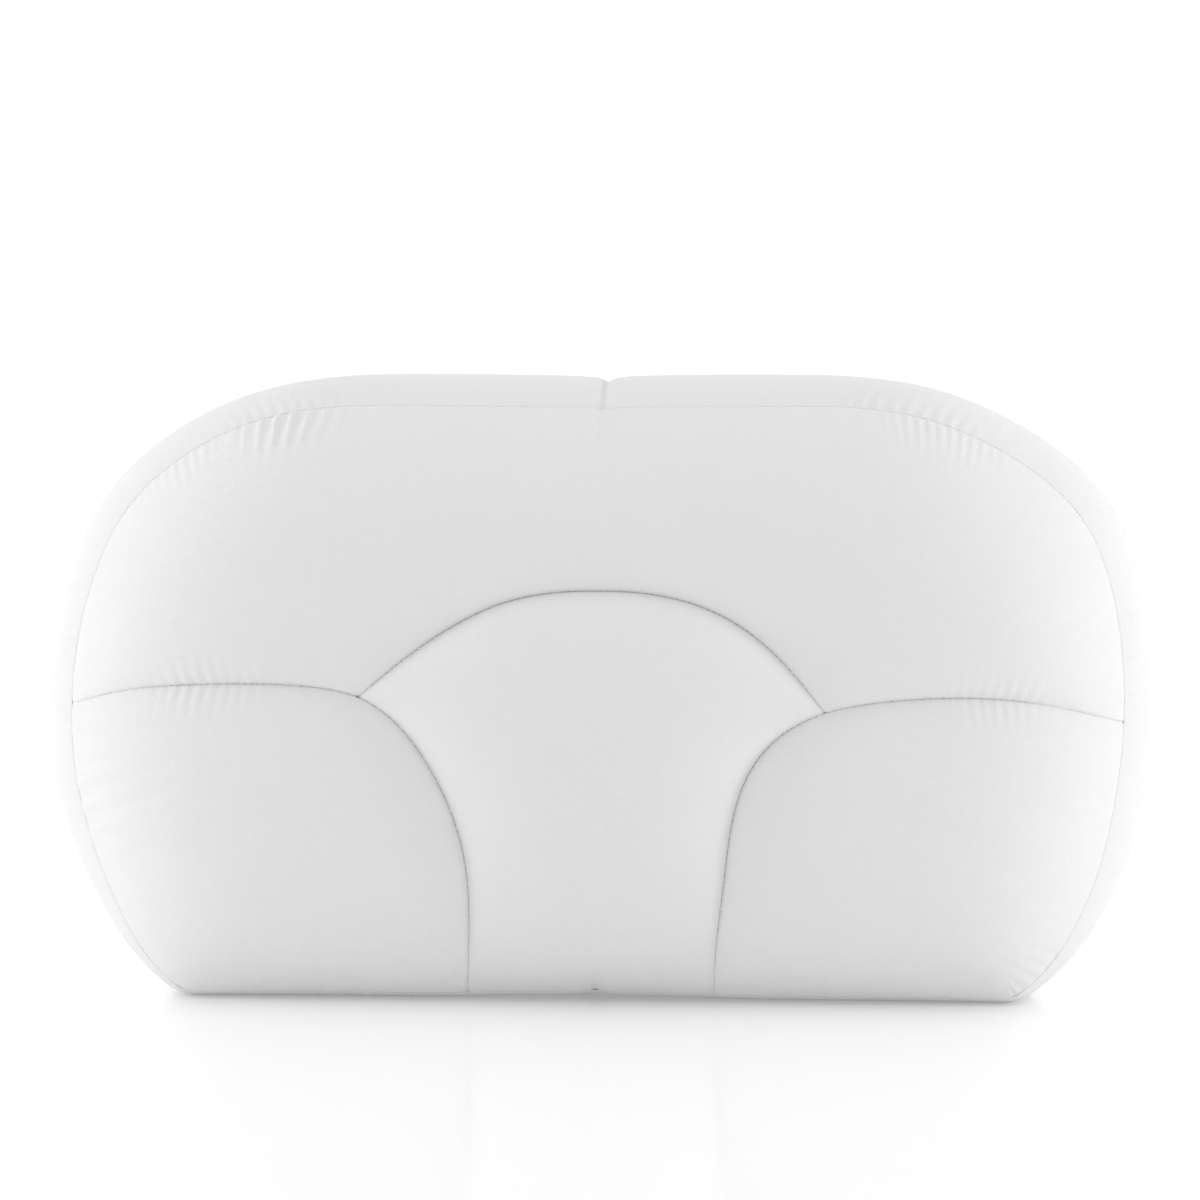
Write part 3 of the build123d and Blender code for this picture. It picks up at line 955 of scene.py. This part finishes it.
def knit(name, tone, wale, course, depth, coordinates="UV"):
    """A fine warp-knit cloth: ribs one way, rows the other, with a slight irregular tone and painted shade
    between the ribs.
    """
    n = Nodes(name)
    place = n.add("ShaderNodeTexCoord").outputs[coordinates]
    split = n.add("ShaderNodeSeparateXYZ")
    n.link(place, split.inputs[0])
    second = split.outputs["Y"] if coordinates == "UV" else split.outputs["Z"]
    drift = n.texture("Noise", coordinates, Scale=260.0, Detail=2.0)
    wander = n.math("MULTIPLY", n.math("SUBTRACT", drift, 0.5), 0.9)
    ribs = n.math("ADD", n.math("MULTIPLY", split.outputs["X"], 2 * math.pi / (wale * MM)), wander)
    rows = n.math("ADD", n.math("MULTIPLY", second, 2 * math.pi / (course * MM)), wander)
    rib = n.math("ABSOLUTE", n.math("SINE", n.math("MULTIPLY", ribs, 0.5)))
    row = n.math("SINE", rows)
    weave = n.math("ADD", rib, n.math("MULTIPLY", row, 0.32))
    fibre = n.texture("Noise", coordinates, Scale=2600.0, Detail=3.0)
    weave = n.math("ADD", weave, n.math("MULTIPLY", fibre, 0.5))
    cloud = n.texture("Noise", coordinates, Scale=26.0, Detail=3.0)
    mix = n.add("ShaderNodeMix", data_type="RGBA")
    # The colour mixes a cloudy irregular tone with painted shade: it is darker in the grooves between the
    # ribs.
    shade = n.math("ADD", n.math("MULTIPLY", cloud, 0.55), n.math("MULTIPLY", rib, 0.4))
    n.link(shade, mix.inputs["Factor"])
    ends = [socket for socket in mix.inputs if socket.type == "RGBA"]
    for end, value in zip(ends, (0.955 * tone, tone)):
        end.default_value = (value, value, value, 1.0)
    blend = [socket for socket in mix.outputs if socket.type == "RGBA"][0]
    n.link(blend, n.shader.inputs["Base Color"])
    n.relief(weave, depth)
    n.set(Roughness=0.88, Sheen_Weight=0.12, Sheen_Roughness=0.5, Specular_IOR_Level=0.25)
    return n.material


def thread(name, tone):
    """Twisted sewing thread."""
    n = Nodes(name)
    n.relief(n.texture("Wave", Scale=1500.0, Distortion=1.5, bands_direction="DIAGONAL"), 0.04)
    n.set(Base_Color=(tone, tone, tone, 1.0), Roughness=0.6, Sheen_Weight=0.2)
    return n.material


def plastic(name, tone, roughness):
    """Moulded plastic with a faint grain."""
    n = Nodes(name)
    n.relief(n.texture("Noise", Scale=1800.0, Detail=3.0), 0.02)
    n.set(Base_Color=(tone, tone, tone, 1.0), Roughness=roughness)
    return n.material


def enamel(name, colour, metallic, roughness):
    """Painted or bare zip metal, slightly uneven, a little worn."""
    n = Nodes(name)
    grain = n.texture("Noise", Scale=900.0, Detail=4.0)
    n.relief(grain, 0.03)
    worn = n.math("MULTIPLY_ADD", grain, 0.2, roughness - 0.1)
    n.link(worn, n.shader.inputs["Roughness"])
    n.set(Base_Color=(*colour, 1.0), Metallic=metallic, Coat_Weight=0.2)
    return n.material


def beads(name, tone):
    """Packed polystyrene microbeads."""
    n = Nodes(name)
    n.relief(n.math("SUBTRACT", 1.0, n.texture("Voronoi", output="Distance", Scale=1100.0)), 0.4)
    n.set(Base_Color=(tone, tone, tone, 1.0), Roughness=0.7)
    return n.material


# Tones, then for the knits the spacing of ribs and rows and the depth of the relief.
COVER_KNIT = knit("cover_knit", 0.80, 0.9, 1.3, 0.05)
THREAD = thread("sewing_thread", 0.76)
LINER_KNIT = knit("liner_knit", 0.78, 0.8, 1.1, 0.05, "Object")
BAFFLE_CLOTH = knit("baffle_fabric", 0.74, 0.7, 0.7, 0.05, "Object")
BEADS = beads("bead_filling", 0.84)
TAPE = knit("zip_tape", 0.72, 0.6, 0.9, 0.08, "Object")
COIL = plastic("zip_coil", 0.76, 0.35)
STOP = enamel("zip_stop", (0.75, 0.75, 0.76), 0.9, 0.35)
SLIDER = enamel("slider_metal", (0.78, 0.78, 0.78), 0.0, 0.3)


# ---- cover


def cover_piece(name, node, place, faces, flat):
    """One padded panel of the cover."""
    piece = to_object(f"knit_{name}", place, faces, flat)
    thicken(piece, CLOTH)
    claim(piece, node, "pillow", COVER_KNIT)


def cover_panels():
    """The six sewn face panels."""
    loops = panel_loops(EDGE_STEP)
    for name in (*PANEL_LIFT, "back_upper", "back_lower"):
        flat, faces = fill_panel(loops[name], ROWS, FILL_STEP)
        if name not in PANEL_LIFT:
            faces = faces[:, ::-1]
        cover_piece(name, f"cover_{name}_panel", finish_face(flat, faces, name), faces, flat)


def band_halves():
    """The band, in the two halves that meet at the top and the bottom."""
    for name, start, end in (("right", 0, MIDDLE_TOP), ("left", MIDDLE_TOP, LENGTH)):
        flat, faces = fill_band(start, end, EDGE_STEP, ROWS, FILL_STEP)
        cover_piece(f"band_{name}", f"band_{name}", finish_band(flat, faces, start, end), faces, flat)


# ---- stitching


def sweep(path, ups, radius, sides=6, taper=True):
    """Tube points and faces along a path, closed at its ends, which may taper; `ups` may be one direction."""
    tangent = np.gradient(path, axis=0)
    tangent /= np.linalg.norm(tangent, axis=1)[:, None]
    across = np.cross(tangent, ups)
    across /= np.maximum(np.linalg.norm(across, axis=1), 1e-9)[:, None]
    over = np.cross(across, tangent)
    widths = np.full(len(path), radius)
    if taper:
        widths[0] = widths[-1] = radius * 0.35
    angle = np.arange(sides) * 2 * math.pi / sides
    ring = across[:, None] * np.cos(angle)[None, :, None] + over[:, None] * np.sin(angle)[None, :, None]
    points = path[:, None] + ring * widths[:, None, None]
    index = np.arange(len(path) * sides).reshape(len(path), sides)
    after = np.roll(index, -1, axis=1)
    quads = np.stack([index[:-1], after[:-1], after[1:], index[1:]], axis=-1).reshape(-1, 4)
    caps = [tuple(index[0][::-1]), tuple(index[-1])]
    return points.reshape(-1, 3), [tuple(q) for q in quads] + caps


def gather_meshes(parts):
    """Joins lists of points and faces into one."""
    points, faces, count = [], [], 0
    for p, f in parts:
        points.append(p)
        faces += [tuple(int(k) + count for k in face) for face in f]
        count += len(p)
    return np.vstack(points), faces


def stitches(line, ups, pitch=3.0, length=2.3, radius=0.2, rise=0.35):
    """Separate stitches along a line in space, each dipping into the cloth at its ends."""
    along = run_length(line)
    ups = np.broadcast_to(ups, line.shape)
    parts = []
    for k in range(int(along[-1] / pitch)):
        u = np.linspace(k * pitch + 0.3, k * pitch + 0.3 + length, 6)
        path = np.stack([np.interp(u, along, line[:, c]) for c in range(3)], axis=1)
        up = np.stack([np.interp(u, along, ups[:, c]) for c in range(3)], axis=1)
        up /= np.linalg.norm(up, axis=1)[:, None]
        arch = rise * (np.sin(np.linspace(0, math.pi, 6)) - 0.5)
        parts.append(sweep(path + up * arch[:, None], up, radius))
    return parts


def stitch_piece(name, node, parts):
    """One line of stitching as a piece."""
    piece = to_object(name, *gather_meshes(parts))
    claim(piece, node, "pillow", THREAD)


def seam_stitches():
    """Stitching along every seam, lying in the groove between the panels."""
    for seam, node in (("left", "left_lobe"), ("right", "right_lobe"), ("arch", "arch")):
        flat = resample(LINES[seam].points, 1.0)
        place = front_shape(flat, "centre" if seam == "arch" else node)
        place = place + MOVES.at(place)
        place[:, 1] += THREAD_LAY * GROOVE
        stitch_piece(f"thread_{seam}", f"stitching_{node}", stitches(warp(place), (0.0, -1.0, 0.0)))
    for name, seam in (("front", FRONT_SEAM), ("back", BACK_SEAM)):
        s = np.append(np.arange(0, LENGTH, 1.0), LENGTH)
        flat = seam_rim(s, seam)
        place = np.stack([flat[:, 0], np.full(len(flat), seam[0]), flat[:, 1]], axis=1)
        inward = pull_in(place, s)
        parts = stitches(warp(place + RIM_THREAD * inward), -inward, rise=0.25)
        stitch_piece(f"thread_{name}", f"stitching_{name}_perimeter", parts)
    for name, s, height in (("band_top", MIDDLE_TOP, 1.0), ("band_bottom", 0.0, -1.0)):
        across = np.arange(2, BAND_WIDTH - 2, 1.0)
        place = band_shape(np.stack([np.full(len(across), s), across], axis=1))
        up = np.array([0.0, 0.0, height])
        place -= JOIN_THREAD * up
        stitch_piece(f"thread_{name}", f"stitching_{name}", stitches(warp(place), up))
    parts = []
    for sign in (1, -1):
        place = back_shape(level_row(np.arange(ZIP_HALF + 5, 238, 1.0) * sign, ZIP_Z))
        place[:, 1] -= THREAD_LAY * GROOVE
        parts += stitches(warp(place), (0.0, 1.0, 0.0))
    stitch_piece("thread_back_cross", "stitching_back_cross", parts)


# ---- zip


def zip_axes():
    """Middle of the zip, and its directions along, up and out of the cover."""
    height, reach = BACK_CROWN
    fall = math.exp(-(ZIP_Z - BACK_SEAM[2]) / reach)
    slope = height / reach * fall
    out = np.array([0, 1, -slope]) / math.hypot(1, slope)
    up = np.array([0, slope, 1]) / math.hypot(1, slope)
    return np.array([0, BACK_SEAM[0] + height * (1 - fall), ZIP_Z]), np.array([1.0, 0, 0]), up, out


ZIP_MIDDLE, ZIP_ALONG, ZIP_UP, ZIP_OUT = zip_axes()


def zip_place(points):
    """Places in space of points along, up and out in the zip's own frame."""
    return ZIP_MIDDLE + points @ np.stack([ZIP_ALONG, ZIP_UP, ZIP_OUT])


def zip_tapes():
    """Woven tapes under the edges of the cover, each with a corded edge next to the coil."""
    x = np.linspace(-TAPE_HALF, TAPE_HALF, int(2 * TAPE_HALF) + 1)
    across = np.array([0.9, 1.1, 1.5, 2.0, 3.0, 4.5, 6.0, 8.0, 10.0, 12.0, TAPE_WIDTH - 0.4, TAPE_WIDTH])
    height, middle, half = TAPE_CORD
    for name, sign in (("upper", 1), ("lower", -1)):
        grid, quads = grid_mesh(x, across)
        cord = height * hump(grid[:, 1], middle, half)
        sag = -TAPE_DEPTH - 0.12 * smooth((grid[:, 1] - 3) / 8) + 0.05 * np.sin(grid[:, 0] / 9)
        place = zip_place(np.stack([grid[:, 0], sign * grid[:, 1], sag + cord], axis=1))
        piece = to_object(f"tape_{name}", place, quads if sign > 0 else quads[:, ::-1])
        thicken(piece, TAPE_THICKNESS)
        claim(piece, f"zip_tape_{name}", "pillow", TAPE)


def zip_coils():
    """Two interlocked coils, each one long spring sewn to its tape."""
    turns = int(2 * COIL_HALF / COIL_PITCH)
    for name, sign, phase in (("upper", 1, 0.0), ("lower", -1, 0.49)):
        t = np.linspace(0, turns, turns * 12 + 1)
        angle = 2 * math.pi * t
        across = sign * (COIL_AXIS[0] + COIL_SIZE[0] * np.cos(angle))
        out = COIL_AXIS[1] + COIL_SIZE[1] * np.sin(angle)
        x = -COIL_HALF + COIL_PITCH * (t + phase)
        path = zip_place(np.stack([np.minimum(x, COIL_HALF), across, out], axis=1))
        points, faces = sweep(path, ZIP_ALONG, COIL_WIRE, taper=False)
        piece = to_object(f"coil_{name}", points, faces)
        claim(piece, f"zip_coil_{name}", "pillow", COIL)


def rounded_block(low, high, bevel, segments=3):
    """Points and faces of a box with rounded edges."""
    bm = bmesh.new()
    bmesh.ops.create_cube(bm, size=1.0)
    size, middle = np.subtract(high, low), np.add(high, low) / 2
    for v in bm.verts:
        v.co = Vector(middle + size * np.array(v.co))
    bmesh.ops.bevel(bm, geom=bm.edges[:], offset=bevel, segments=segments, profile=0.5, affect="EDGES")
    return mesh_arrays(bm)


def mesh_arrays(bm):
    """Points and faces of a bmesh, which is freed."""
    bm.verts.index_update()
    points = np.array([tuple(v.co) for v in bm.verts])
    faces = [tuple(v.index for v in f.verts) for f in bm.faces]
    bm.free()
    return points, faces


def zip_stops():
    """Crimped stops at the two ends of the coils."""
    (start, end), (inner, outer), (foot, head) = STOP_X, STOP_EDGE, STOP_OUT
    stops = (
        ("stop_bottom", "zip_bottom_stop", (-end, -outer, foot), (-start, outer, head)),
        ("stop_top_upper", "zip_top_stop_upper", (start, inner, foot), (end, outer, head)),
        ("stop_top_lower", "zip_top_stop_lower", (start, -outer, foot), (end, -inner, head)),
    )
    for name, node, low, high in stops:
        points, faces = rounded_block(low, high, 0.45)
        piece = to_object(name, zip_place(points), faces)
        claim(piece, node, "pillow", STOP)


def zip_topstitch():
    """Topstitching through cover and tape, along both edges of the zip."""
    for name, sign in (("upper", 1), ("lower", -1)):
        row = level_row(np.arange(-ZIP_HALF, ZIP_HALF + 0.5, 1.0), ZIP_Z + sign * TOPSTITCH)
        place = warp(back_shape(row))
        parts = stitches(place, ZIP_OUT, pitch=3.2, length=2.6, radius=0.22, rise=0.3)
        stitch_piece(f"thread_zip_{name}", f"zip_topstitch_{name}", parts)


def zip_slider():
    """Die-cast slider: shield-shaped top plate, under plate, side walls and a bail."""
    x, (half, wide) = SLIDER_X, SLIDER_HALF
    parts = []
    for (low, high), bevel in ((SLIDER_TOP, 0.4), (SLIDER_UNDER, 0.3)):
        parts.append(rounded_block((x - half, -wide, low), (x + half, wide, high), bevel))
    inner, foot, head = SLIDER_SIDES
    for sign in (-1, 1):
        low, high = sorted((sign * inner, sign * wide))
        parts.append(rounded_block((x - half, low, foot), (x + half, high, head), 0.3))
    parts = [narrowed(points, faces) for points, faces in parts]
    span, height, radius, broad = BAIL
    angle = np.linspace(0, math.pi, 17)
    level = np.zeros(len(angle))
    path = np.stack([x + span * np.cos(angle), level, 0.7 + height * np.sin(angle) ** 0.6], axis=1)
    points, faces = sweep(path, (0.0, 1.0, 0.0), radius, 10, False)
    points[:, 1] *= broad
    parts.append((points, faces))
    points, faces = gather_meshes(parts)
    piece = to_object("slider_body", zip_place(points), faces)
    claim(piece, "zip_slider", "slider", SLIDER)


def narrowed(points, faces):
    """A slider part waisted towards the end that follows."""
    t = smooth((points[:, 0] - SLIDER_X + SLIDER_HALF[0]) / (2 * SLIDER_HALF[0]))
    points[:, 1] *= 1 - SLIDER_WAIST + SLIDER_WAIST * t
    return points, faces


def zip_pull():
    """Pull tab: a rounded plate with a raised rim and a window for the bail."""
    bm = bmesh.new()
    middle, top = (PULL_AXIS + half for half in PULL_THICKNESS)
    start, end, down = PULL_RIM
    rings = []
    for inset, out in ((0, PULL_AXIS), (0, middle), (start, top), (end, top), (down, middle)):
        rings.append([bm.verts.new((a, b, out)) for a, b in tab_outline(inset)])
    for out in (middle, PULL_AXIS):
        rings.append([bm.verts.new((a, b, out)) for a, b in window_outline()])
    for low, high in zip(rings, rings[1:]):
        for k in range(len(low)):
            n = (k + 1) % len(low)
            bm.faces.new((low[k], low[n], high[n], high[k]))
    mirror = bmesh.ops.duplicate(bm, geom=bm.verts[:] + bm.edges[:] + bm.faces[:])
    for item in mirror["geom"]:
        if isinstance(item, bmesh.types.BMVert):
            item.co.z = 2 * PULL_AXIS - item.co.z
    bmesh.ops.reverse_faces(bm, faces=[f for f in mirror["geom"] if isinstance(f, bmesh.types.BMFace)])
    bmesh.ops.remove_doubles(bm, verts=bm.verts[:], dist=0.001)
    bmesh.ops.recalc_face_normals(bm, faces=bm.faces[:])
    points, faces = mesh_arrays(bm)
    piece = to_object("pull_tab", zip_place(points), faces)
    claim(piece, "zip_pull", "pull", SLIDER)


def rounded_square(power, count=48):
    """Points round a square of half side 1, its corners rounder with a higher power."""
    points = []
    for k in range(count):
        angle = 2 * math.pi * (k + 0.5) / count
        c, s = math.cos(angle), math.sin(angle)
        points.append((math.copysign(abs(c) ** power, c), math.copysign(abs(s) ** power, s)))
    return points


def tab_outline(inset):
    """Rounded, slightly waisted outline of the pull tab."""
    points = []
    for u, v in rounded_square(0.35):
        a = u * (PULL_HALF[0] - inset) - PULL_BACK
        waist = PULL_HALF[1] - PULL_WAIST[0] * math.exp(-((a + 11) / PULL_WAIST[1]) ** 2)
        points.append((SLIDER_X + a, v * (waist - inset * 0.9)))
    return points


def window_outline():
    """Outline of the window round the bail."""
    middle = SLIDER_X - WINDOW_BACK
    return [(middle + u * WINDOW_HALF[0], v * WINDOW_HALF[1]) for u, v in rounded_square(0.3)]


# ---- pieces kept from the CAD


def inner_pieces():
    """Materials of the pieces inside the cover."""
    looks = {"liner_": LINER_KNIT, "baffle_": BAFFLE_CLOTH, "beads_": BEADS}
    for name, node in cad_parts.items():
        for start, material in looks.items():
            if name.startswith(start):
                for slot in node.material_slots:
                    slot.material = material


# ---- floor, light and camera


def floor():
    """Glossy white studio floor."""
    mesh = bpy.data.meshes.new("studio_floor")
    corners = [(a * FLOOR_HALF, b * FLOOR_HALF, 0) for a, b in ((-1, -1), (1, -1), (1, 1), (-1, 1))]
    mesh.from_pydata(corners, [], [(0, 1, 2, 3)])
    piece = placed("studio_floor", mesh)
    n = Nodes("studio_floor")
    n.set(Base_Color=(FLOOR_TONE, FLOOR_TONE, FLOOR_TONE, 1.0), Roughness=0.14, Specular_IOR_Level=0.3)
    n.set(Emission_Color=(1, 1, 1, 1), Emission_Strength=FLOOR_GLOW)
    mesh.materials.append(n.material)


def surroundings():
    """Even white surroundings, brightest behind the pillow."""
    studio = bpy.data.worlds.new("studio")
    bpy.context.scene.world = studio
    studio.use_nodes = True
    tree = studio.node_tree
    tree.nodes.clear()
    place = tree.nodes.new("ShaderNodeTexCoord")
    split = tree.nodes.new("ShaderNodeSeparateXYZ")
    tree.links.new(place.outputs["Generated"], split.inputs[0])
    ramp = tree.nodes.new("ShaderNodeMapRange")
    ramp.interpolation_type = "SMOOTHSTEP"
    for key, value in zip(("From Min", "From Max", "To Min", "To Max"), SKY_BEHIND + SKY):
        ramp.inputs[key].default_value = value
    tree.links.new(split.outputs["Y"], ramp.inputs["Value"])
    shade = tree.nodes.new("ShaderNodeBackground")
    shade.inputs["Color"].default_value = (1, 1, 1, 1)
    tree.links.new(ramp.outputs["Result"], shade.inputs["Strength"])
    out = tree.nodes.new("ShaderNodeOutputWorld")
    tree.links.new(shade.outputs[0], out.inputs["Surface"])


def softbox(name, place, target, size, power):
    """A plain rectangular studio light."""
    data = bpy.data.lights.new(name, "AREA")
    data.shape = "RECTANGLE"
    data.size, data.size_y = size
    data.energy = power
    lamp = placed(name, data)
    lamp.location = place
    lamp.rotation_euler = (Vector(target) - Vector(place)).to_track_quat("-Z", "Y").to_euler()


def camera():
    """Almost straight on, a little from the right and above."""
    data = bpy.data.cameras.new("camera")
    data.lens = CAMERA_LENS
    data.sensor_width = 36.0
    data.clip_end = 100.0
    view = placed("camera", data)
    turn, rise = math.radians(CAMERA_TURN), math.radians(CAMERA_RISE)
    away = Vector((math.sin(turn) * math.cos(rise), -math.cos(turn) * math.cos(rise), math.sin(rise)))
    view.location = Vector(CAMERA_AIM) + away * CAMERA_AWAY
    view.rotation_euler = (-away).to_track_quat("-Z", "Y").to_euler()
    bpy.context.scene.camera = view


cover_panels()
band_halves()
seam_stitches()
zip_tapes()
zip_coils()
zip_stops()
zip_topstitch()
zip_slider()
zip_pull()
inner_pieces()
floor()
surroundings()
for name, values in SOFTBOXES.items():
    softbox(name, *values)
camera()
bpy.context.scene.view_settings.view_transform = "Standard"
